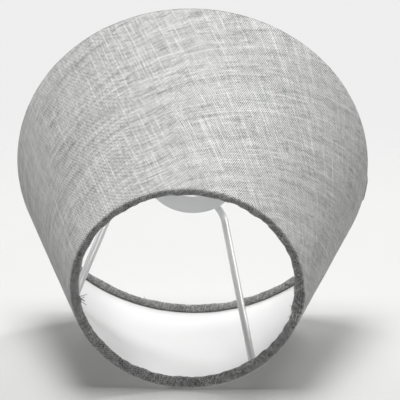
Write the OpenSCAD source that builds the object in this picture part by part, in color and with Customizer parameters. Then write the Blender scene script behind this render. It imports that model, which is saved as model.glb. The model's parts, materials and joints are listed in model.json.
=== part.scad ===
// Tapered lamp shade with rolled edges, standing on its large ring.
// The axis is Z, the floor is z = 0, and sizes are in millimetres.
// A flat sheet of woven fabric on a plastic liner is bent into a cone frustum. Its margins roll
// round two wire rings. Three wires run from the small ring down to the fitter disc.

/* [Shade] */
// Radius of the base ring, to the middle of its wire
base_ring_r = 97.5; // [85:0.5:120]
// Radius of the top ring, to the middle of its wire
top_ring_r = 61.5; // [50:0.5:75]
// Height between the planes of the two rings
ring_spacing = 134; // [110:1:170]

/* [Sheet] */
// Thickness of the woven cover
cover_t = 0.45; // [0.4:0.05:0.6]
// Thickness of the plastic liner
liner_t = 0.35; // [0.3:0.05:0.5]
// Thickness of the double-sided tape on the rings and in the lap
tape_t = 0.1; // [0.08:0.01:0.15]
// Width of the lap where the cover closes on itself
lap_w = 10; // [6:1:14]
// Direction of the lap round the axis, from +X
seam_angle = 167; // [140:1:200]

/* [Wire] */
// Diameter of the ring wire
ring_wire_d = 3; // [2.6:0.1:3.4]
// Diameter of the arm wire
arm_wire_d = 4.2; // [3.4:0.1:4.2]
// Direction of the first arm's foot round the axis, from +X
first_arm_angle = 0; // [0:1:30]
// How far round the axis an arm's tip is ahead of its foot
arm_twist = 6; // [0:1:8]
// Radius at which an arm runs upwards after its bend
arm_bend_at_r = 37; // [35:0.5:40]
// Radius of the arm's bend, to the middle of the wire
arm_bend_r = 5; // [4:0.5:6]
// Radius at which an arm's end lies under the disc
arm_start_r = 20; // [19.5:0.5:22]

/* [Fitter] */
// Radius of the fitter disc
disc_r = 27.5; // [26:0.5:28]
// Radius of the hole for the lampholder
hole_r = 15; // [14:0.5:15]
// Height of the disc's upper face above the floor
disc_top_z = 11; // [10:0.5:20]
// Thickness of the disc's sheet steel
disc_t = 1; // [0.8:0.1:1.2]
// Height of the rim round the hole above the disc
rim_h = 2.5; // [2:0.1:3]
// Wall thickness of the rim
rim_t = 1.2; // [1:0.1:1.4]

/* [Welds] */
// Length of the weld that closes each ring, along the wire
ring_gap = 2; // [1:0.5:3]
// Radius of the bead that joins an arm to the top ring, less than the arm's own
tip_bead_r = 2; // [1.5:0.05:2]
// Radius of the beads that join an arm to the disc
disc_bead_r = 1; // [0.8:0.05:1.2]
// Length of those beads along the arm
disc_bead_l = 5; // [3:0.5:6]

/* [Hidden] */
$fn = 96;

arm_count = 3;
ring_wire_r = ring_wire_d / 2;
arm_r = arm_wire_d / 2;
tape_out = ring_wire_r + tape_t;
liner_out = tape_out + liner_t;
roll_r = liner_out + cover_t;

slope = atan((base_ring_r - top_ring_r) / ring_spacing);
slant = norm([base_ring_r - top_ring_r, ring_spacing]);
base_ring_z = roll_r;
top_ring_z = base_ring_z + ring_spacing;
weld_turn = 20;
tuck_edge = 0.7 * ring_wire_r;
lap_root_w = 1;
lap_margin = 2.5;
lap_reach = base_ring_r + 10;

disc_bottom_z = disc_top_z - disc_t;
arm_z = disc_bottom_z - arm_r;
bend_x = arm_bend_at_r - arm_bend_r;
// An arm lies in one plane, which leans so that it holds the foot and the tip.
tip_side = top_ring_r * sin(arm_twist);
tip_rise = top_ring_z - arm_z;
lean = atan2(tip_side, tip_rise);
// The arm leaves its bend along the tangent that meets the middle of the top ring's wire.
to_ring = [top_ring_r * cos(arm_twist) - bend_x, norm([tip_side, tip_rise]) - arm_bend_r];
leave = atan2(to_ring[1], to_ring[0]) - acos(arm_bend_r / norm(to_ring));
arm_run = sqrt(pow(norm(to_ring), 2) - pow(arm_bend_r, 2)) - ring_wire_r;
slit_gap = 0.1;

// Places a profile beside the wall: x points out of the wall and y runs up it, from the base wire.
module beside_wall() translate([base_ring_r, base_ring_z]) rotate(slope) children();

module wall_profile(inner, outer, margin = 0) beside_wall()
    translate([inner, margin]) square([outer - inner, slant - 2 * margin]);

// The margin of the cover round one ring. Its raw edge is tucked in beside the liner.
module roll_profile() difference() {
    circle(roll_r);
    circle(tape_out);
    translate([tuck_edge, 0]) square(2 * roll_r);
}

module cover_profile() {
    wall_profile(liner_out, roll_r);
    beside_wall() roll_profile();
    beside_wall() translate([0, slant]) mirror([0, 1]) roll_profile();
}

// A strip on the outside of the wall, between two distances from the seam's edge.
module lap_strip(inner, outer, from, to) intersection() {
    rotate_extrude() wall_profile(inner, outer, lap_margin);
    rotate([0, 0, seam_angle]) translate([0, from, 0]) cube([lap_reach, to - from, top_ring_z]);
}

module wire_ring(ring_r, ring_z, section_r) translate([0, 0, ring_z])
    rotate_extrude() translate([ring_r, 0]) circle(section_r);

// The stretch of a ring that its closing weld fills.
module weld_stretch(ring_r, ring_z) rotate([0, 0, seam_angle + weld_turn])
    translate([ring_r / 2, -ring_gap / 2, ring_z - roll_r]) cube([ring_r, ring_gap, 2 * roll_r]);

module at_arm(number) rotate([0, 0, first_arm_angle + (number - 1) * 360 / arm_count]) children();

// The plane of an arm: x along its foot and z up its lean.
module in_arm_plane() translate([0, 0, arm_z]) rotate([-lean, 0, 0]) children();

module at_bend() in_arm_plane() translate([bend_x, 0, arm_bend_r]) rotate([90, 0, 0]) children();

// Along the arm's straight run, with z = 0 where it leaves its bend.
module along_run() at_bend() rotate(leave) translate([arm_bend_r, 0, 0]) rotate([-90, 0, 0]) children();

module arm_wire() {
    in_arm_plane() translate([arm_start_r, 0, 0]) rotate([0, 90, 0])
        cylinder(r = arm_r, h = bend_x - arm_start_r);
    at_bend() rotate(-90) rotate_extrude(angle = 90 + leave) translate([arm_bend_r, 0]) circle(arm_r);
    along_run() cylinder(r = arm_r, h = arm_run);
}

// The slits in the roll and its tape, where the arms reach the ring.
module arm_slits() for (number = [1 : arm_count]) at_arm(number) along_run() {
    translate([0, 0, arm_run - 2 * roll_r]) cylinder(r = arm_r + slit_gap, h = 2 * roll_r);
    translate([0, 0, arm_run]) sphere(tip_bead_r + slit_gap);
}

// The fillets of weld metal in the two corners between an arm and the disc's underside.
module disc_bead_profile(side) difference() {
    translate([side * arm_r, -0.7 * disc_bead_r]) circle(disc_bead_r);
    translate([0, -arm_r]) circle(arm_r);
    translate([-disc_r, 0]) square(2 * disc_r);
}

module fabric_cover() color("DarkGray") difference() {
    union() {
        rotate_extrude() cover_profile();
        lap_strip(roll_r, roll_r + tape_t, 0, lap_root_w);
        lap_strip(roll_r + tape_t, roll_r + tape_t + cover_t, 0, lap_w);
    }
    arm_slits();
}

module liner() color("White") rotate_extrude() wall_profile(tape_out, liner_out);

module seam_tape() color("Ivory") lap_strip(roll_r, roll_r + tape_t, lap_root_w, lap_w);

module ring(ring_r, ring_z) color("Silver") difference() {
    wire_ring(ring_r, ring_z, ring_wire_r);
    weld_stretch(ring_r, ring_z);
}

module ring_weld(ring_r, ring_z) color("Gray") intersection() {
    wire_ring(ring_r, ring_z, ring_wire_r);
    weld_stretch(ring_r, ring_z);
}

module ring_tape(ring_r, ring_z) translate([0, 0, ring_z]) rotate_extrude() translate([ring_r, 0])
    difference() {
        circle(tape_out);
        circle(ring_wire_r);
    }

module base_ring_tape() color("Ivory") ring_tape(base_ring_r, base_ring_z);

module top_ring_tape() color("Ivory") difference() {
    ring_tape(top_ring_r, top_ring_z);
    arm_slits();
}

module fitter_disc() color("White") rotate_extrude() {
    translate([hole_r, disc_bottom_z]) square([disc_r - hole_r, disc_t]);
    translate([hole_r, disc_bottom_z]) square([rim_t, disc_t + rim_h - rim_t / 2]);
    translate([hole_r + rim_t / 2, disc_top_z + rim_h - rim_t / 2]) circle(rim_t / 2);
    difference() {
        translate([hole_r + rim_t, disc_top_z]) square(rim_t);
        translate([hole_r + 2 * rim_t, disc_top_z + rim_t]) circle(rim_t);
    }
}

module arm(number) color("WhiteSmoke") at_arm(number) arm_wire();

module arm_ring_weld(number) color("Gainsboro") difference() {
    at_arm(number) along_run() translate([0, 0, arm_run]) sphere(tip_bead_r);
    at_arm(number) arm_wire();
    wire_ring(top_ring_r, top_ring_z, ring_wire_r);
}

module arm_disc_weld(number) color("Gainsboro") at_arm(number)
    translate([(arm_start_r + disc_r - disc_bead_l) / 2, 0, disc_bottom_z]) rotate([90, 0, 90])
        for (side = [-1, 1]) linear_extrude(disc_bead_l) disc_bead_profile(side);

fabric_cover();
liner();
seam_tape();
ring(base_ring_r, base_ring_z);  // base_ring
ring_weld(base_ring_r, base_ring_z);  // base_ring_weld
base_ring_tape();
ring(top_ring_r, top_ring_z);  // top_ring
ring_weld(top_ring_r, top_ring_z);  // top_ring_weld
top_ring_tape();
fitter_disc();
arm(1);  // arm_1
arm(2);  // arm_2
arm(3);  // arm_3
arm_ring_weld(1);  // arm_1_ring_weld
arm_ring_weld(2);  // arm_2_ring_weld
arm_ring_weld(3);  // arm_3_ring_weld
arm_disc_weld(1);  // arm_1_disc_weld
arm_disc_weld(2);  // arm_2_disc_weld
arm_disc_weld(3);  // arm_3_disc_weld
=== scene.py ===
"""Looks of a tapered lamp shade.

A woven cover on a plastic liner is rolled round two wire rings. Three coated arms hold a disc inside."""

import json
import math

import bmesh
import bpy
import numpy as np
from mathutils import Matrix, Vector, noise


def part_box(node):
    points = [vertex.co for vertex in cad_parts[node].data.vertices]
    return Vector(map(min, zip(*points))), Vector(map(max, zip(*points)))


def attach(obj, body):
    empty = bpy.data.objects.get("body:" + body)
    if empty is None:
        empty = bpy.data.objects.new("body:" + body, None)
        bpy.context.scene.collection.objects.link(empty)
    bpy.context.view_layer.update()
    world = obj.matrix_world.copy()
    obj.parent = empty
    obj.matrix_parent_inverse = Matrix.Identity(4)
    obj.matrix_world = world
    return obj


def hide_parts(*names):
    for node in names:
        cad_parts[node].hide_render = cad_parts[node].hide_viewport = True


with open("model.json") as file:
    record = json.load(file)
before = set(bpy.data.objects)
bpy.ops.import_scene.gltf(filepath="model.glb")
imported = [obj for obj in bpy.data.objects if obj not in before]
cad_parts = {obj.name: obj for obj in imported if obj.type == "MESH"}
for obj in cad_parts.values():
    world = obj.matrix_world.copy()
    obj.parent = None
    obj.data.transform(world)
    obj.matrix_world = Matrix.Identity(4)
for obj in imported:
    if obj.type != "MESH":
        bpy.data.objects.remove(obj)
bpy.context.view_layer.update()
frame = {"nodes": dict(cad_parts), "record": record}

TAU = 2 * math.pi

# Thicknesses of the layers, in metres, as in the CAD source
COVER_T = 0.00045
LINER_T = 0.00035
TAPE_T = 0.0001

# The lap where the cover closes on itself, and the width over which the outer layer settles beside it
SEAM_ANGLE = math.radians(167)
LAP_W = 0.010
RAMP_W = 0.009
# How much thinner a layer is pressed where it lies flat, and how much thicker the lap is on the rolls
PRESSED = 0.00015
BULKY_LAP = 0.00038

# How far round a wire the margin of the cover is turned, to its tucked edge
TURN = math.radians(296)

# Lumps of the turned margins, in metres: broad slack, gathers, pleats at the narrow ring and fuzz
SLACK = 0.00062
GATHERS = 0.00032
PLEATS = 0.00030
FUZZ = 0.00009
# The size of each kind of lump, in millimetres
SLACK_MM = 8
GATHERS_MM = 3.2
PLEATS_MM = 4.6
FUZZ_MM = 1.5
# How far a roll stands off its wire all round, and how loose the narrow one is on its tucked side
ROLL_SLACK = 0.0001
LOOSE_TUCK = 0.0006

# Waviness of the wall: height of the waves in metres, and their length in millimetres
COVER_WAVE = 0.00016
COVER_WAVE_MM = 28
LINER_WAVE = 0.00011
LINER_WAVE_MM = 34

# How finely the sheet is divided: round the axis, across the lap, round a wire and up the wall
TURN_COLUMNS = 900
LAP_COLUMNS = 16
ROLL_STEPS = 44
WALL_STEPS = 90

# The arms: radius of the wire, place of the foot and the bend, and how far the tip is turned
ARM_R = 0.0021
ARM_START_R = 0.020
ARM_BEND_AT_R = 0.037
ARM_BEND_R = 0.005
ARM_TWIST = math.radians(6)

# The weld beads between an arm and the disc: length, radius, ripple and depth under the disc
BEAD_L = 0.0052
BEAD_R = 0.00108
BEAD_RIPPLE = 0.00012
BEAD_DROP = 0.0006

# The rim of the disc's hole, and how far the disc's edges are rounded
RIM_T = 0.0012
DISC_EDGE = 0.00035
RIM_FOOT = 0.0019
RIM_LIP = 0.00055
HOLE_EDGE = 0.0004


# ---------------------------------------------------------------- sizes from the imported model

def ring_of(node):
    """Radius and height of the middle of a ring's wire, and the wire's own radius."""
    low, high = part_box(node)
    wire = (high.z - low.z) / 2
    return high.x - wire, (high.z + low.z) / 2, wire


BASE_R, BASE_Z, WIRE_R = ring_of("base_ring")
TOP_R, TOP_Z, _ = ring_of("top_ring")
ROLL_R = WIRE_R + TAPE_T + LINER_T + COVER_T
SLOPE = math.atan2(BASE_R - TOP_R, TOP_Z - BASE_Z)
SLANT = math.hypot(BASE_R - TOP_R, TOP_Z - BASE_Z)
SIN_SLOPE = math.sin(SLOPE)
COS_SLOPE = math.cos(SLOPE)
# Distance from the cone's point to the base wire, along the middle of the cover
BASE_S = (BASE_R + (ROLL_R - COVER_T / 2) * COS_SLOPE) / SIN_SLOPE


def ring_plane(outward, up):
    """Radius and height of a point beside the wall: outward from it, and up it from the base wire."""
    radius = BASE_R + outward * COS_SLOPE - up * SIN_SLOPE
    height = BASE_Z + outward * SIN_SLOPE + up * COS_SLOPE
    return radius, height


def around(radius, height, angle):
    """A point at an angle round the axis."""
    return Vector((radius * math.cos(angle), radius * math.sin(angle), height))


def smooth(value, start, end):
    """0 before start, 1 after end, and smooth between them."""
    t = min(1.0, max(0.0, (value - start) / (end - start)))
    return t * t * (3 - 2 * t)


# ---------------------------------------------------------------- meshes

def make_mesh(name, points, faces, flat=None, material=None, replaces=()):
    """A piece from points and faces, shaded smooth, riding on the CAD's one body."""
    mesh = bpy.data.meshes.new(name)
    mesh.from_pydata([tuple(p) for p in points], [], faces)
    mesh.polygons.foreach_set("use_smooth", [True] * len(mesh.polygons))
    if flat is not None:
        layer = mesh.uv_layers.new(name="flat")
        loops = np.zeros(len(mesh.loops), np.int32)
        mesh.loops.foreach_get("vertex_index", loops)
        layer.data.foreach_set("uv", np.array(flat, np.float32)[loops].ravel())
    shell = bmesh.new()
    shell.from_mesh(mesh)
    bmesh.ops.recalc_face_normals(shell, faces=shell.faces)
    shell.to_mesh(mesh)
    shell.free()
    mesh.update()
    piece = bpy.data.objects.new(name, mesh)
    bpy.context.scene.collection.objects.link(piece)
    if material is not None:
        mesh.materials.append(material)
    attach(piece, "root")
    if replaces:
        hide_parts(*replaces)
    return piece


def grid_faces(columns, rows, first=0, closed=False, flip=False):
    """Quads between columns of points that were listed one column after another."""
    faces = []
    last = columns if closed else columns - 1
    for i in range(last):
        for j in range(rows - 1):
            a = first + i * rows + j
            b = first + ((i + 1) % columns) * rows + j
            quad = (a, b, b + 1, a + 1)
            faces.append(quad[::-1] if flip else quad)
    return faces


def tube(path, radii, sides, points, faces):
    """Adds a round tube with closed ends along a path."""
    path = [Vector(p) for p in path]
    tangent = (path[1] - path[0]).normalized()
    side = tangent.orthogonal().normalized()
    first = len(points)
    for k, place in enumerate(path):
        ahead = path[min(k + 1, len(path) - 1)]
        behind = path[max(k - 1, 0)]
        tangent = (ahead - behind).normalized()
        side = (side - tangent * side.dot(tangent)).normalized()
        other = tangent.cross(side)
        for q in range(sides):
            turn = TAU * q / sides
            points.append(place + (side * math.cos(turn) + other * math.sin(turn)) * radii[k])
    for k in range(len(path) - 1):
        for q in range(sides):
            a = first + k * sides + q
            b = first + k * sides + (q + 1) % sides
            faces.append((a, b, b + sides, a + sides))
    faces.append(tuple(first + q for q in reversed(range(sides))))
    faces.append(tuple(first + (len(path) - 1) * sides + q for q in range(sides)))


# ---------------------------------------------------------------- the cover

def profile_stations():
    """Stations along the cover's section, from the tuck at the base wire to the tuck at the top wire.

    Each is (up the wall, direction round its wire, distance along the sheet from the base wire)."""
    middle = ROLL_R - COVER_T / 2
    stations = []
    for k in range(ROLL_STEPS):
        turn = TURN * (1 - k / ROLL_STEPS)
        stations.append((0.0, -turn, -turn * middle))
    for k in range(WALL_STEPS + 1):
        up = SLANT * k / WALL_STEPS
        stations.append((up, 0.0, up))
    for k in range(1, ROLL_STEPS + 1):
        turn = TURN * k / ROLL_STEPS
        stations.append((SLANT, turn, SLANT + turn * middle))
    return stations


def roll_lumps(place, turn, angle, narrow):
    """How far the turned margin stands proud of a true round, in metres: gathers and slack."""
    amount = smooth(abs(turn), math.radians(15), math.radians(100))
    if amount == 0:
        return 0.0
    radius = TOP_R if narrow else BASE_R
    round_mm = Vector((math.cos(angle), math.sin(angle), 0)) * radius * 1000
    offset = Vector((0, 0, 40 if narrow else -40))
    slack = noise.noise(round_mm / SLACK_MM + offset)
    gathers = noise.noise(round_mm / GATHERS_MM + offset + Vector((0, 0, turn * 0.8)))
    fine = noise.noise(Vector(place) * 1000 / FUZZ_MM)
    pleats = noise.noise(round_mm / PLEATS_MM - offset) if narrow else 0.0
    size = 1.0 if narrow else 0.9
    tuck = smooth(abs(turn), math.radians(140), math.radians(195))
    loose = LOOSE_TUCK * (1 + math.sin(angle)) * tuck if narrow else 0.0
    lumps = SLACK * slack + GATHERS * gathers + PLEATS * pleats + FUZZ * fine
    return amount * (ROLL_SLACK + loose + size * lumps)


def lap_layers(along, past_end, turn):
    """How far the sheet stands off its place near the lap, and its thickness there.

    along is the distance from the outer cut edge, and past_end the one past the seam at the far end.
    The two layers are pressed thin on the wall, and stay full on the rolls."""
    full = smooth(abs(turn), 0.0, 0.6)
    pressed = COVER_T - PRESSED * (1 - full)
    if past_end > 0:
        return pressed - COVER_T, pressed
    on_top = 1 - smooth(along, LAP_W + 0.001, LAP_W + RAMP_W)
    step = TAPE_T + 2 * pressed - COVER_T + BULKY_LAP * full
    return step * on_top, COVER_T + (pressed - COVER_T) * on_top


def cover_points():
    """Points of the sheet's two sides, column by column, and their places on its flat pattern."""
    outer, inner, flat = [], [], []
    stations = profile_stations()
    for i in range(TURN_COLUMNS + 1 + LAP_COLUMNS):
        whole = min(i, TURN_COLUMNS) / TURN_COLUMNS * TAU
        past = max(0, i - TURN_COLUMNS) / LAP_COLUMNS
        for up, turn, length in stations:
            radius, height = ring_plane(ROLL_R * math.cos(turn), up + ROLL_R * math.sin(turn))
            sheet_angle = whole + past * LAP_W / radius
            angle = SEAM_ANGLE + sheet_angle
            past_end = (sheet_angle - TAU) * radius
            narrow = up > SLANT / 2
            place = around(radius, height, angle)
            proud = roll_lumps(place, turn, angle, narrow)
            wave = noise.noise(place * 1000 / COVER_WAVE_MM) * COVER_WAVE * math.sin(math.pi * up / SLANT)
            lift, thickness = lap_layers(sheet_angle * radius, past_end, turn)
            reach = ROLL_R + proud + wave + lift
            for layer, depth in ((outer, 0.0), (inner, thickness)):
                out = (reach - depth) * math.cos(turn)
                rise = up + (reach - depth) * math.sin(turn)
                layer.append(around(*ring_plane(out, rise), angle))
            bearing = SIN_SLOPE * (sheet_angle - math.pi)
            distance = BASE_S - length
            flat.append((distance * math.sin(bearing), distance * math.cos(bearing)))
    return outer, inner, flat


def sheet_faces(columns, rows):
    """Both sides of an open sheet and its four cut edges."""
    count = columns * rows
    faces = grid_faces(columns, rows, 0)
    faces += grid_faces(columns, rows, count, flip=True)
    for j in range(rows - 1):
        start, end = j, (columns - 1) * rows + j
        faces.append((start, start + 1, count + start + 1, count + start))
        faces.append((end + 1, end, count + end, count + end + 1))
    for i in range(columns - 1):
        low, high = i * rows, i * rows + rows - 1
        faces.append((low + rows, low, count + low, count + low + rows))
        faces.append((high, high + rows, count + high + rows, count + high))
    return faces


def build_cover(material):
    """The woven sheet with its margins rolled round both rings and its start lapped over its end."""
    outer, inner, flat = cover_points()
    columns = TURN_COLUMNS + 1 + LAP_COLUMNS
    faces = sheet_faces(columns, len(outer) // columns)
    piece = make_mesh("woven_cover", outer + inner, faces, flat + flat, material,
                      ["fabric_cover"])


# ---------------------------------------------------------------- the liner

def build_liner(material):
    """The plastic sheet behind the cover, with a slight waviness."""
    inside = WIRE_R + TAPE_T
    rows, columns = 40, 720
    points = []
    for layer in (inside, inside + LINER_T):
        for i in range(columns):
            angle = TAU * i / columns
            for j in range(rows):
                up = SLANT * j / (rows - 1)
                place = around(*ring_plane(layer, up), angle)
                bow = math.sin(math.pi * j / (rows - 1))
                wave = noise.noise(place * 1000 / LINER_WAVE_MM) * LINER_WAVE * bow
                points.append(around(*ring_plane(layer + wave, up), angle))
    count = rows * columns
    faces = grid_faces(columns, rows, 0, closed=True, flip=True)
    faces += grid_faces(columns, rows, count, closed=True)
    for i in range(columns):
        for row, turned in ((0, False), (rows - 1, True)):
            a = i * rows + row
            b = ((i + 1) % columns) * rows + row
            quad = (a, b, count + b, count + a)
            faces.append(quad[::-1] if turned else quad)
    make_mesh("inner_liner", points, faces, None, material, ["liner"])


# ---------------------------------------------------------------- materials

class Shader:
    """A tree of nodes, with short ways to add and join them."""

    def __init__(self, tree):
        self.nodes = tree.nodes
        self.links = tree.links
        self.surface = self.nodes.get("Principled BSDF")

    def put(self, socket, value):
        if isinstance(value, bpy.types.NodeSocket):
            self.links.new(value, socket)
        elif value is not None:
            socket.default_value = value

    def add(self, kind, inputs=None, **settings):
        node = self.nodes.new(kind)
        for key, value in settings.items():
            setattr(node, key, value)
        for key, value in (inputs or {}).items():
            self.put(node.inputs[key], value)
        return node

    def math(self, operation, a, b=None, c=None):
        node = self.add("ShaderNodeMath", operation=operation)
        for socket, value in zip(node.inputs, (a, b, c)):
            self.put(socket, value)
        return node.outputs[0]

    def noise(self, vector, scale, detail=2.0, rough=0.5, dimensions="3D"):
        node = self.add("ShaderNodeTexNoise", noise_dimensions=dimensions)
        self.put(node.inputs["Vector"], vector)
        node.inputs["Scale"].default_value = scale
        node.inputs["Detail"].default_value = detail
        node.inputs["Roughness"].default_value = rough
        return node.outputs["Fac"]

    def vector(self, x, y, z=0.0):
        node = self.add("ShaderNodeCombineXYZ")
        for socket, value in zip(node.inputs, (x, y, z)):
            self.put(socket, value)
        return node.outputs[0]

    def spread(self, value, low, high, out_low=0.0, out_high=1.0, smoothly=False):
        node = self.add("ShaderNodeMapRange")
        node.interpolation_type = "SMOOTHSTEP" if smoothly else "LINEAR"
        sockets = ("Value", "From Min", "From Max", "To Min", "To Max")
        for key, item in zip(sockets, (value, low, high, out_low, out_high)):
            self.put(node.inputs[key], item)
        return node.outputs[0]

    def blend(self, factor, a, b):
        node = self.add("ShaderNodeMix", data_type="RGBA")
        self.put(node.inputs[0], factor)
        self.put(node.inputs[6], a)
        self.put(node.inputs[7], b)
        return node.outputs[2]

    def bump(self, height, distance, strength=1.0, normal=None):
        node = self.add("ShaderNodeBump")
        node.inputs["Strength"].default_value = strength
        node.inputs["Distance"].default_value = distance
        self.put(node.inputs["Height"], height)
        self.put(node.inputs["Normal"], normal)
        return node.outputs[0]

    def set(self, **values):
        for key, value in values.items():
            self.put(self.surface.inputs[key.replace("_", " ")], value)


def new_material(name):
    """A material and the shader that its nodes are made with."""
    material = bpy.data.materials.new(name)
    material.use_nodes = True
    return material, Shader(material.node_tree)


# Distance between neighbouring yarns in mm, and a step that keeps the noise of two yarns apart
YARN_PITCH = 0.66
YARN_STEP = 7.31

# How much brightness a turned margin keeps under its painted shade, which stands in for the light that
# the wall lets through from inside and the rolls don't, how much more painted shade at the wide ring, and
# how uneven the margins' tone is
MARGIN_SHADE_TONE = 0.53
BASE_MARGIN_SHADE = -0.08
GLUE_FUZZ = 0.36
# How much of the weave's depth the glue takes away, and how much more at the wide ring
GLUE_FLATTENS = -0.55
BASE_FLATTENS = -0.25

# The tone of plain cloth, and what each kind of unevenness adds to it
PLAIN_TONE = 0.44
YARN_TONE = 0.9
GRAIN_TONE = 1.2
BAND_TONE = 0.72
PATCH_TONE = 0.14
DARK_DASH_TONE = -0.25
LIGHT_STREAK_TONE = 0.40
BRIGHT_YARN_TONE = 0.54

DARK_YARN = (0.13, 0.13, 0.127, 1)
MIDDLE_YARN = (0.65, 0.65, 0.645, 1)
PALE_YARN = (0.95, 0.95, 0.94, 1)


def streaks(shader, across, lengthwise, fine, slow, seed):
    """Noise in long soft streaks: it changes quickly across the yarns and slowly along them."""
    quick_way = shader.math("MULTIPLY", across, fine)
    slow_way = shader.math("MULTIPLY", lengthwise, slow)
    return shader.noise(shader.vector(quick_way, slow_way, seed), 1.0, 3)


def yarns(shader, number, lengthwise, slow, seed):
    """Noise of its own for each yarn, by the yarn's number, which changes slowly along it."""
    own_place = shader.math("MULTIPLY", number, YARN_STEP)
    slow_way = shader.math("MULTIPLY", lengthwise, slow)
    return shader.noise(shader.vector(own_place, slow_way, seed), 1.0, 1)


def glued_margins(shader, flat):
    """Masks for the margin at the wide ring and for both margins, by place on the flat pattern."""
    from_point = shader.add("ShaderNodeVectorMath", {"Vector": flat}, operation="LENGTH").outputs["Value"]
    top_s = BASE_S - SLANT
    at_base = shader.spread(from_point, BASE_S - 0.0002, BASE_S + 0.0012, 0.0, 1.0, True)
    at_top = shader.spread(from_point, top_s - 0.0018, top_s - 0.0004, 1.0, 0.0, True)
    return at_base, shader.math("MAXIMUM", at_base, at_top)


def margin_shade_and_fuzz(shader, raw, at_base, margin):
    """Painted shade on the margins, where no light comes through from inside as it does through the wall:
    darker and fuzzier on the margins than on the wall, darker still at the wide ring.
    """
    painted_shade = shader.math("MULTIPLY_ADD", margin, MARGIN_SHADE_TONE - 1.0, 1.0)
    painted_shade = shader.math("MULTIPLY_ADD", at_base, BASE_MARGIN_SHADE, painted_shade)
    fuzz = shader.spread(shader.noise(raw, 0.75, 3, 0.7), 0.35, 0.65, -GLUE_FUZZ, GLUE_FUZZ)
    return shader.math("MULTIPLY_ADD", shader.math("MULTIPLY", fuzz, margin), painted_shade, painted_shade)


def slubs(shader, noise_socket, low, high, wave=None):
    """Turns soft noise into separate slubs. With a wave they keep to the crown of the yarn."""
    mask = shader.spread(noise_socket, low, high, 0.0, 1.0, True)
    if wave is None:
        return mask
    return shader.math("MULTIPLY", mask, shader.math("ABSOLUTE", wave))


def linen_material():
    """Slubby plain weave in grey and off-white yarns, laid out on the flat pattern of the sheet."""
    material, shader = new_material("linen")
    flat = shader.add("ShaderNodeUVMap", uv_map="flat").outputs[0]
    parts = shader.add("ShaderNodeSeparateXYZ", {"Vector": flat})
    x_mm = shader.math("MULTIPLY", parts.outputs[0], 1000.0)
    y_mm = shader.math("MULTIPLY", parts.outputs[1], 1000.0)
    raw = shader.vector(x_mm, y_mm)

    # The yarns wander a little, so that no line is ruler straight
    turned = shader.vector(y_mm, x_mm, 7.0)
    drift_x = shader.math("MULTIPLY_ADD", shader.noise(raw, 0.045, 3), 1.0, -0.5)
    drift_y = shader.math("MULTIPLY_ADD", shader.noise(turned, 0.04, 3), 2.4, -1.2)
    warp_at = shader.math("ADD", x_mm, drift_x)
    weft_at = shader.math("ADD", y_mm, drift_y)

    # The weave itself: two rows of sines that pass over and under each other
    warp_wave = shader.math("SINE", shader.math("MULTIPLY", warp_at, math.pi / YARN_PITCH))
    weft_wave = shader.math("SINE", shader.math("MULTIPLY", weft_at, math.pi / YARN_PITCH))
    weave = shader.math("MULTIPLY", warp_wave, weft_wave)
    at_base, margin = glued_margins(shader, flat)
    weave_depth = shader.math("MULTIPLY_ADD", margin, GLUE_FLATTENS, 1.0)
    weave_depth = shader.math("MULTIPLY_ADD", at_base, BASE_FLATTENS, weave_depth)
    tone = shader.math("MULTIPLY_ADD", weave, weave_depth, PLAIN_TONE)

    # Each yarn has its own tone, which changes slowly along it, and the cloth has bands and patches
    warp_number = shader.math("FLOOR", shader.math("DIVIDE", warp_at, YARN_PITCH))
    weft_number = shader.math("FLOOR", shader.math("DIVIDE", weft_at, YARN_PITCH))
    uneven = (
        (yarns(shader, warp_number, y_mm, 0.10, 0.0), YARN_TONE),
        (yarns(shader, weft_number, x_mm, 0.12, 31.0), YARN_TONE),
        (yarns(shader, warp_number, weft_number, 5.77, 3.0), GRAIN_TONE),
        (streaks(shader, weft_at, x_mm, 0.24, 0.013, 11.0), BAND_TONE),
        (shader.noise(raw, 0.05, 3), PATCH_TONE),
    )
    for part, weight in uneven:
        tone = shader.math("MULTIPLY_ADD", shader.math("SUBTRACT", part, 0.5), weight, tone)

    # Slubs: dark dashes and light streaks along the weft, and thin bright warp yarns
    dash = streaks(shader, weft_at, x_mm, 0.42, 0.05, 19.0)
    streak = yarns(shader, weft_number, x_mm, 0.012, 47.0)
    bright = yarns(shader, warp_number, y_mm, 0.013, 23.0)
    slub_tones = (
        (slubs(shader, dash, 0.50, 0.72), DARK_DASH_TONE),
        (slubs(shader, streak, 0.56, 0.70, weft_wave), LIGHT_STREAK_TONE),
        (slubs(shader, bright, 0.54, 0.70, warp_wave), BRIGHT_YARN_TONE),
    )
    for part, weight in slub_tones:
        tone = shader.math("MULTIPLY_ADD", part, weight, tone)
    tone = shader.spread(tone, -0.25, 1.0)

    ramp = shader.add("ShaderNodeValToRGB", {"Fac": tone})
    ramp.color_ramp.elements[0].position = 0.0
    ramp.color_ramp.elements[0].color = DARK_YARN
    ramp.color_ramp.elements[1].position = 1.0
    ramp.color_ramp.elements[1].color = PALE_YARN
    ramp.color_ramp.elements.new(0.6).color = MIDDLE_YARN
    # The margins' colour is scaled down by painted shade, with a random fuzz in their tone
    colour = shader.add("ShaderNodeVectorMath", {0: ramp.outputs[0]}, operation="SCALE")
    shader.put(colour.inputs["Scale"], margin_shade_and_fuzz(shader, raw, at_base, margin))

    height = shader.math("MULTIPLY_ADD", weave, 0.35, tone)
    shader.set(Base_Color=colour.outputs[0], Roughness=0.86, Normal=shader.bump(height, 0.00012, 0.6))
    shader.set(Sheen_Weight=0.35, Sheen_Roughness=0.32, Specular_IOR_Level=0.25)
    return material


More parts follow.
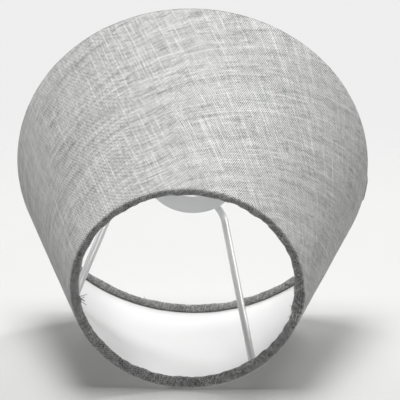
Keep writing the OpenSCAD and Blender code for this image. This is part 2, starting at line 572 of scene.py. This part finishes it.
def liner_material():
    """White satin plastic with a faint cloudiness and a fine grain."""
    material, shader = new_material("white_liner")
    place = shader.add("ShaderNodeTexCoord").outputs["Object"]
    cloud = shader.noise(place, 28.0, 3)
    grain = shader.noise(place, 900.0, 2)
    colour = shader.blend(cloud, (0.88, 0.885, 0.88, 1), (0.93, 0.93, 0.925, 1))
    rough = shader.spread(cloud, 0.3, 0.7, 0.34, 0.46)
    shader.set(Base_Color=colour, Roughness=rough, Normal=shader.bump(grain, 0.00002, 0.5))
    return material


def enamel_material():
    """White powder coat: satin, with a faint orange peel and slightly greyer patches."""
    material, shader = new_material("white_powder_coat")
    place = shader.add("ShaderNodeTexCoord").outputs["Object"]
    peel = shader.noise(place, 1400.0, 2)
    cloud = shader.noise(place, 60.0, 2)
    colour = shader.blend(cloud, (0.74, 0.745, 0.75, 1), (0.82, 0.825, 0.83, 1))
    rough = shader.spread(peel, 0.3, 0.7, 0.17, 0.28)
    shader.set(Base_Color=colour, Roughness=rough, Normal=shader.bump(peel, 0.00004, 0.6))
    shader.set(Coat_Weight=0.4, Coat_Roughness=0.12)
    return material


def metal_material(name, dark, light, roughness):
    """Bare steel with a fine unevenness and cloudy tarnish."""
    material, shader = new_material(name)
    place = shader.add("ShaderNodeTexCoord").outputs["Object"]
    cloud = shader.noise(place, 120.0, 4)
    grit = shader.noise(place, 2600.0, 2)
    rough = shader.spread(grit, 0.3, 0.7, roughness - 0.08, roughness + 0.1)
    shader.set(Base_Color=shader.blend(cloud, dark, light), Roughness=rough)
    shader.set(Metallic=1.0, Normal=shader.bump(grit, 0.00002, 0.5))
    return material


def tape_material():
    """Cream double-sided tape with a fibrous tissue carrier."""
    material, shader = new_material("cream_tape")
    place = shader.add("ShaderNodeTexCoord").outputs["Object"]
    fibre = shader.noise(place, 1800.0, 3)
    colour = shader.blend(fibre, (0.62, 0.58, 0.48, 1), (0.78, 0.74, 0.64, 1))
    shader.set(Base_Color=colour, Roughness=0.55, Normal=shader.bump(fibre, 0.00003, 0.5))
    return material


def dress_node(name, material):
    """Gives a CAD node that stays in view its material and smooth shading."""
    mesh = frame["nodes"][name].data
    mesh.materials.clear()
    mesh.materials.append(material)
    mesh.polygons.foreach_set("use_smooth", [True] * len(mesh.polygons))
    mesh.set_sharp_from_angle(angle=math.radians(40))


# ---------------------------------------------------------------- arms and disc

def arm_path(angle):
    """Points along one arm, from its foot under the disc to the top ring's wire."""
    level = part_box("fitter_disc")[0].z - ARM_R
    root = Vector((0, 0, level))
    along = around(1, 0, angle)
    tip = around(TOP_R, TOP_Z, angle + ARM_TWIST) - root
    rise = (tip - along * tip.dot(along)).normalized()
    bend_x = ARM_BEND_AT_R - ARM_BEND_R
    reach = Vector((tip.dot(along) - bend_x, tip.dot(rise) - ARM_BEND_R))
    leave = math.atan2(reach.y, reach.x) - math.acos(ARM_BEND_R / reach.length)
    foot_steps, bend_steps, run_steps = 9, 22, 60
    path = []
    for k in range(foot_steps):
        path.append((ARM_START_R + (bend_x - ARM_START_R) * k / foot_steps, 0))
    for k in range(bend_steps + 1):
        turn = -math.pi / 2 + (math.pi / 2 + leave) * k / bend_steps
        path.append((bend_x + ARM_BEND_R * math.cos(turn), ARM_BEND_R * (1 + math.sin(turn))))
    start = Vector(path[-1])
    run = math.sqrt(reach.length_squared - ARM_BEND_R ** 2) - WIRE_R
    end = start + Vector((-math.sin(leave), math.cos(leave))) * run
    for k in range(1, run_steps + 1):
        path.append(tuple(start.lerp(end, k / run_steps)))
    return [root + along * x + rise * y for x, y in path]


def foot_angle(number):
    """The direction of an arm's foot round the axis, from its welds to the disc."""
    low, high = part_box(f"arm_{number}_disc_weld")
    return math.atan2(low.y + high.y, low.x + high.x)


def build_arm(number, material):
    """One coated wire with its welds to the disc: its end, its bend and its straight run to the ring.

    The weld to the ring lies inside the roll and isn't shaped here."""
    angle = foot_angle(number)
    path = arm_path(angle)
    end = path[0] - (path[1] - path[0]).normalized() * 0.0007
    radii = [ARM_R * 0.62, ARM_R * 0.92]
    for k in range(1, len(path)):
        wander = noise.noise(Vector((k * 0.21, number * 5.0, 0))) * 0.00005
        radii.append(ARM_R - 0.00002 + wander)
    points, faces = [], []
    tube([end] + path, radii, 28, points, faces)
    add_disc_welds(number, angle, points, faces)
    nodes = [f"arm_{number}", f"arm_{number}_ring_weld", f"arm_{number}_disc_weld"]
    make_mesh(f"coated_arm_{number}", points, faces, None, material, nodes)


def add_disc_welds(number, angle, points, faces):
    """Coated weld beads in the corners between the arm and the disc."""
    low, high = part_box("fitter_disc")
    middle = (ARM_START_R + high.x) / 2
    across = Vector((-math.sin(angle), math.cos(angle), 0))
    steps = 14
    for side in (-1, 1):
        path, radii = [], []
        for k in range(steps + 1):
            share = k / steps
            radius = middle + BEAD_L * (share - 0.5)
            ripple = BEAD_RIPPLE * math.sin(share * 17 + number + side)
            place = around(radius, low.z - BEAD_DROP, angle) + across * side * (ARM_R + 0.00005)
            path.append(place)
            radii.append(BEAD_R * math.sqrt(max(0.05, 1 - (2 * share - 1) ** 4)) + ripple)
        tube(path, radii, 14, points, faces)


def rounded(corners, steps=6):
    """A closed section with its corners rounded: each corner is (radius, height, rounding)."""
    section = []
    count = len(corners)
    for k in range(count):
        x, z, fillet = corners[k]
        here = Vector((x, z))
        before = Vector(corners[k - 1][:2]) - here
        after = Vector(corners[(k + 1) % count][:2]) - here
        a = here + before.normalized() * fillet
        b = here + after.normalized() * fillet
        for q in range(steps + 1):
            t = q / steps
            section.append(tuple(a * (1 - t) ** 2 + here * 2 * t * (1 - t) + b * t ** 2))
    return section


def build_disc(material):
    """The pressed steel disc: soft edges and an upturned rim round the lampholder hole."""
    low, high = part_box("fitter_disc")
    mounts = {mount["name"]: mount for mount in frame["record"]["mounts"]}
    hole_r = mounts["lampholder_hole"]["dims"]["r_mm"] / 1000
    upper = mounts["upper_disc_face"]["pos_m"][2]
    rim_r = hole_r + RIM_T
    corners = [
        (high.x, low.z, DISC_EDGE), (high.x, upper, DISC_EDGE),
        (rim_r, upper, RIM_FOOT), (rim_r, high.z, RIM_LIP),
        (hole_r, high.z, RIM_LIP), (hole_r, low.z, HOLE_EDGE),
    ]
    section = rounded(corners)
    columns, rows = 256, len(section)
    points = []
    for i in range(columns):
        for radius, height in section:
            points.append(around(radius, height, TAU * i / columns))
    faces = []
    for i in range(columns):
        for j in range(rows):
            a = i * rows + j
            b = ((i + 1) % columns) * rows + j
            c = ((i + 1) % columns) * rows + (j + 1) % rows
            d = i * rows + (j + 1) % rows
            faces.append((a, b, c, d))
    piece = make_mesh("coated_disc", points, faces, None, material, ["fitter_disc"])
    piece.data.set_sharp_from_angle(angle=math.radians(50))


# ---------------------------------------------------------------- loose threads

def add_thread(start, direction, length, seed, radius, points, faces):
    """A loose yarn end: it leaves in one direction and curls."""
    heading = Vector(direction).normalized()
    place = Vector(start)
    path, radii = [], []
    steps = 12
    for k in range(steps + 1):
        path.append(place.copy())
        radii.append(radius * (1 - 0.5 * k / steps))
        at = Vector((seed * 3.7, k * 0.23, seed))
        swing = Vector([noise.noise(at + Vector((0, 0, AXIS_STEP * axis))) for axis in range(3)])
        heading = (heading + swing * THREAD_CURL).normalized()
        place += heading * length / steps
    tube(path, radii, 6, points, faces)


# How far inside the roll a loose thread starts, and how strongly it curls
THREAD_ROOT = 0.0001
THREAD_CURL = 0.3
# A step in the noise that keeps the three axes of a thread's curl apart
AXIS_STEP = 17.3

# Frayed ends: at the narrow ring or not, degrees round the axis, degrees round the roll, length, count,
# and how far they stand up from the roll
FRAYED = (
    (True, 7.5, 190, 0.0024, 3, 1.0),
    (True, 166.5, 118, 0.0034, 7, 0.3),
    (True, 168.0, 60, 0.0034, 5, 0.3),
    (True, 166.0, 165, 0.0024, 3, 0.8),
    (True, 126.0, 150, 0.0034, 6, 0.35),
    (True, 121.0, 110, 0.0030, 4, 0.3),
    (True, 246.0, 200, 0.0024, 4, 1.0),
    (False, 96.0, 205, 0.0015, 3, 0.6),
    (False, 112.0, 160, 0.0018, 3, 0.4),
    (False, 74.0, 190, 0.0015, 2, 0.6),
    (False, 166.0, 200, 0.0026, 4, 0.6),
    (False, 302.0, 170, 0.0022, 2, 1.0),
)
TUFT = ((True, 6.9, 168, 0.0058, 6, 1.0),)


def roll_surface(narrow, turn, angle):
    """A point on a roll, the direction out of it, and the one along the ring."""
    up = SLANT if narrow else 0.0
    place = around(*ring_plane(ROLL_R * math.cos(turn), up + ROLL_R * math.sin(turn)), angle)
    outward = (place - around(*ring_plane(0.0, up), angle)).normalized()
    return place, outward, Vector((-math.sin(angle), math.cos(angle), 0))


def build_threads(name, ends, radius, material):
    """Short ends of yarn that have frayed out of the rolled margins."""
    points, faces = [], []
    for narrow, azimuth, turn, length, count, stand in ends:
        for k in range(count):
            side = 2 * k / (count - 1) - 1
            seed = azimuth + 1.7 * k
            sway = noise.noise(Vector((seed, 0.4, 0.7)))
            place, outward, along = roll_surface(narrow, math.radians(turn + 25 * sway),
                                                 math.radians(azimuth + 0.8 * side))
            direction = outward * stand + along * 1.3 * side + Vector((0, 0, 1.2 * sway))
            root = place - outward * THREAD_ROOT
            add_thread(root, direction, length * (0.8 + sway), seed, radius, points, faces)
    make_mesh(name, points, faces, None, material)


def yarn_material(name, dark, light):
    """Loose fibre, mottled along its length."""
    material, shader = new_material(name)
    place = shader.add("ShaderNodeTexCoord").outputs["Object"]
    fibre = shader.noise(place, 1500.0, 2)
    shader.set(Base_Color=shader.blend(fibre, dark, light), Roughness=0.9)
    return material


# ---------------------------------------------------------------- stage, light and camera

# Directions of the tabletop that the shade lies on: the wall's generator at +Y touches it
TABLE_UP = Vector((0, -COS_SLOPE, -SIN_SLOPE))
TABLE_AWAY = Vector((0, SIN_SLOPE, -COS_SLOPE))
TABLE_RIGHT = Vector((-1, 0, 0))


def table_point(right, away, up):
    """A point by its place on the tabletop, from the middle of the line of contact."""
    radius, height = ring_plane(ROLL_R + 0.0003, SLANT / 2)
    contact = Vector((0, radius, height))
    return contact + TABLE_RIGHT * right + TABLE_AWAY * away + TABLE_UP * up


def build_table():
    """A pale tabletop that only the camera and reflections see, and only from above.

    It lights nothing and shades nothing, and it fades out round the shade."""
    half = 4.0
    fade_from, fade_to = 0.25, 0.60
    corners = [table_point(a * half, b * half, 0) for a, b in ((-1, -1), (1, -1), (1, 1), (-1, 1))]
    mesh = bpy.data.meshes.new("tabletop")
    mesh.from_pydata([tuple(c) for c in corners], [], [(0, 1, 2, 3)])
    if mesh.polygons[0].normal.dot(TABLE_UP) < 0:
        mesh.flip_normals()
    table = bpy.data.objects.new("tabletop", mesh)
    bpy.context.scene.collection.objects.link(table)
    material, shader = new_material("pale_table")
    place = shader.add("ShaderNodeTexCoord").outputs["Object"]
    colour = shader.blend(shader.noise(place, 3.0, 2), (0.67, 0.67, 0.665, 1), (0.70, 0.70, 0.695, 1))
    shader.set(Base_Color=colour, Roughness=0.9, Specular_IOR_Level=0.1)
    side = shader.add("ShaderNodeNewGeometry").outputs["Backfacing"]
    reach = shader.add("ShaderNodeVectorMath", {0: place}, operation="DISTANCE")
    reach.inputs[1].default_value = tuple(table_point(0, 0, 0))
    far = shader.spread(reach.outputs["Value"], fade_from, fade_to, 0.0, 1.0, True)
    hidden = shader.math("MAXIMUM", side, far)
    clear = shader.add("ShaderNodeBsdfTransparent")
    mix = shader.add("ShaderNodeMixShader")
    shader.links.new(hidden, mix.inputs[0])
    shader.links.new(shader.surface.outputs[0], mix.inputs[1])
    shader.links.new(clear.outputs[0], mix.inputs[2])
    shader.links.new(mix.outputs[0], shader.nodes["Material Output"].inputs[0])
    mesh.materials.append(material)
    table.visible_diffuse = False
    table.visible_transmission = False
    table.visible_shadow = False


# Brightness of the backdrop as the camera sees it
BACKDROP = 0.86


def build_world():
    """A pale surround, brighter behind the shade and below the table than in front and above.

    The camera sees it evenly bright."""
    world = bpy.data.worlds.new("studio")
    bpy.context.scene.world = world
    world.use_nodes = True
    shader = Shader(world.node_tree)
    direction = shader.add("ShaderNodeTexCoord").outputs["Generated"]

    def facing(axis):
        node = shader.add("ShaderNodeVectorMath", operation="DOT_PRODUCT")
        shader.links.new(direction, node.inputs[0])
        node.inputs[1].default_value = tuple(axis)
        return node.outputs["Value"]

    away = facing(TABLE_AWAY)
    sky = shader.spread(away, -0.3, 0.9, 0.12, 0.52)
    ground = shader.spread(away, -0.8, 0.8, 0.40, 0.74)
    upper = shader.spread(facing(TABLE_UP), -0.15, 0.25, 0.0, 1.0, True)
    strength = shader.math("MULTIPLY_ADD", upper, shader.math("SUBTRACT", sky, ground), ground)
    seen = shader.add("ShaderNodeLightPath").outputs["Is Camera Ray"]
    level = shader.math("MULTIPLY_ADD", seen, shader.math("SUBTRACT", BACKDROP, strength), strength)
    background = shader.nodes["Background"]
    background.inputs["Color"].default_value = (1.0, 1.0, 1.0, 1)
    shader.links.new(level, background.inputs["Strength"])


# Lights: name, place on the table as right, away and up in metres, width, height and power in watts
LIGHTS = (
    ("glint", (0.78, 1.20, 1.36), 0.45, 0.35, 9),
    ("overhead", (-0.1, -0.45, 2.0), 0.7, 0.7, 21),
    ("overhead_back", (-0.1, 0.3, 1.95), 0.7, 0.7, 12),
    ("window", (0.1, 2.2, 1.0), 1.2, 0.7, 6.5),
    ("window_left", (-0.7, 2.0, 1.1), 0.8, 0.6, 6),
)
# How far above the table the lights are aimed
LIGHT_AIM_UP = 0.08


def add_light(name, place, aim, width, height, power):
    """A soft rectangular light."""
    data = bpy.data.lights.new(name, "AREA")
    data.shape = "RECTANGLE"
    data.size, data.size_y = width, height
    data.energy = power
    light = bpy.data.objects.new(name, data)
    bpy.context.scene.collection.objects.link(light)
    light.location = place
    light.visible_camera = False
    light.rotation_euler = (aim - place).to_track_quat("-Z", "Y").to_euler()


# The camera: the point that it looks at, how far off it is and its angles
CAMERA_AIM = Vector((-0.00513, 0.00018, 0.04215))
CAMERA_DISTANCE = 2.2461
CAMERA_AZIMUTH = math.radians(-1.97)
CAMERA_ELEVATION = math.radians(59.36)
CAMERA_ROLL = math.radians(-177.71)
# Its focal length and the width of its sensor, in millimetres
CAMERA_LENS = 360
CAMERA_SENSOR = 36


def build_camera():
    """The camera, at the photograph's viewing angle."""
    azimuth, elevation, roll = CAMERA_AZIMUTH, CAMERA_ELEVATION, CAMERA_ROLL
    back = Vector((math.sin(azimuth) * math.cos(elevation),
                   -math.cos(azimuth) * math.cos(elevation),
                   math.sin(elevation)))
    level_right = (-back).cross(Vector((0, 0, 1))).normalized()
    level_up = level_right.cross(-back)
    right = level_right * math.cos(roll) + level_up * math.sin(roll)
    up = back.cross(right)
    data = bpy.data.cameras.new("camera")
    data.lens = CAMERA_LENS
    data.sensor_width = CAMERA_SENSOR
    data.clip_start, data.clip_end = 0.05, 50
    camera = bpy.data.objects.new("camera", data)
    bpy.context.scene.collection.objects.link(camera)
    turned = Matrix((right, up, back)).transposed()
    camera.matrix_world = Matrix.Translation(CAMERA_AIM + back * CAMERA_DISTANCE) @ turned.to_4x4()
    bpy.context.scene.camera = camera


# ---------------------------------------------------------------- the whole scene

linen = linen_material()
enamel = enamel_material()
steel = metal_material("ring_steel", (0.42, 0.41, 0.40, 1), (0.60, 0.59, 0.57, 1), 0.38)
weld = metal_material("weld_steel", (0.26, 0.25, 0.24, 1), (0.48, 0.47, 0.45, 1), 0.5)
tape = tape_material()

build_liner(liner_material())
build_cover(linen)
pale_yarn = yarn_material("pale_yarn", (0.55, 0.55, 0.53, 1), (0.85, 0.85, 0.83, 1))
grey_yarn = yarn_material("grey_yarn", (0.22, 0.22, 0.21, 1), (0.40, 0.40, 0.39, 1))
build_threads("loose_threads", FRAYED, 0.00027, pale_yarn)
build_threads("arm_tuft", TUFT, 0.00024, grey_yarn)
for arm_number in (1, 2, 3):
    build_arm(arm_number, enamel)
build_disc(enamel)

for ring_name in ("base_ring", "top_ring"):
    dress_node(ring_name, steel)
    dress_node(ring_name + "_weld", weld)
    dress_node(ring_name + "_tape", tape)
dress_node("seam_tape", tape)

build_table()
build_world()
lit_point = table_point(0, 0, LIGHT_AIM_UP)
for light_name, light_at, light_w, light_h, watts in LIGHTS:
    add_light(light_name, table_point(*light_at), lit_point, light_w, light_h, watts)
build_camera()
bpy.context.scene.view_settings.view_transform = "Standard"
